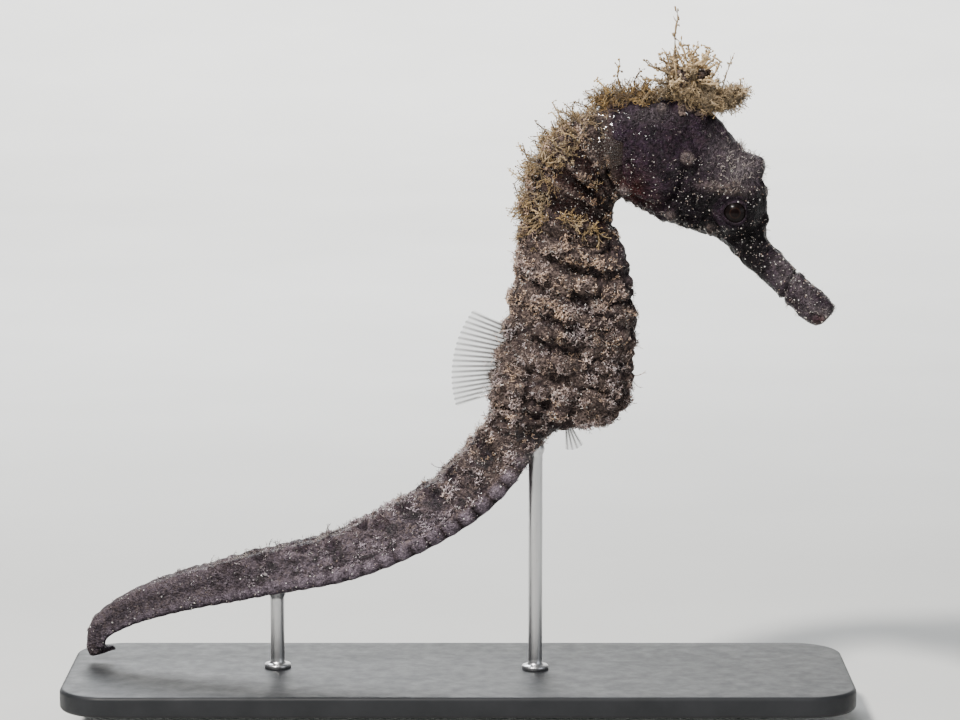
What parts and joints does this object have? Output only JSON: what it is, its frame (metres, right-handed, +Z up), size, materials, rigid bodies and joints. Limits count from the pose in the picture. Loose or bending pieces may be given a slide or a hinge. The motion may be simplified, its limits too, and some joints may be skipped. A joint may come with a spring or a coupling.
{
  "type": "seahorse display model",
  "caption": "Life-size seahorse with ringed trunk and tail, tube snout, weed-grown crown and nape and small fins, held over a flat base by two thin rods.",
  "frame": {"origin": "centre of the underside of the stand's base", "axes": "+X towards the seahorse's snout, +Z up, +Y to the seahorse's left"},
  "size_m": [0.112, 0.036, 0.0981],
  "materials": {
    "hide": "moist purple-brown skin with fine white specks",
    "sand": "sand-brown skin under short filaments and grit",
    "tail": "lilac-grey ringed skin, dusted with sand",
    "weed": "golden-beige branching weed",
    "fin": "clear fin web on fine rays",
    "eye": "wet dark eye with a red-brown ring",
    "base": "satin black",
    "steel": "satin rods"
  },
  "bodies": {
    "root": {"neck": "hide", "trunk_upper": "sand", "trunk_middle": "sand", "trunk_lower": "sand", "tail_root": "tail", "tail_upper": "tail", "tail_middle": "tail", "tail_lower": "tail", "tail_tip": "tail", "head": "hide", "gill_cover_right": "hide", "gill_cover_left": "hide", "snout": "hide", "lower_jaw": "hide", "eye_right": "eye", "eye_left": "eye", "coronet": "weed", "mane": "weed", "dorsal_fin": "fin", "anal_fin": "fin", "pectoral_fin_right": "fin", "pectoral_fin_left": "fin", "stand_base": "base", "stand_rod_front": "steel", "stand_rod_rear": "steel"}
  },
  "joints": []
}
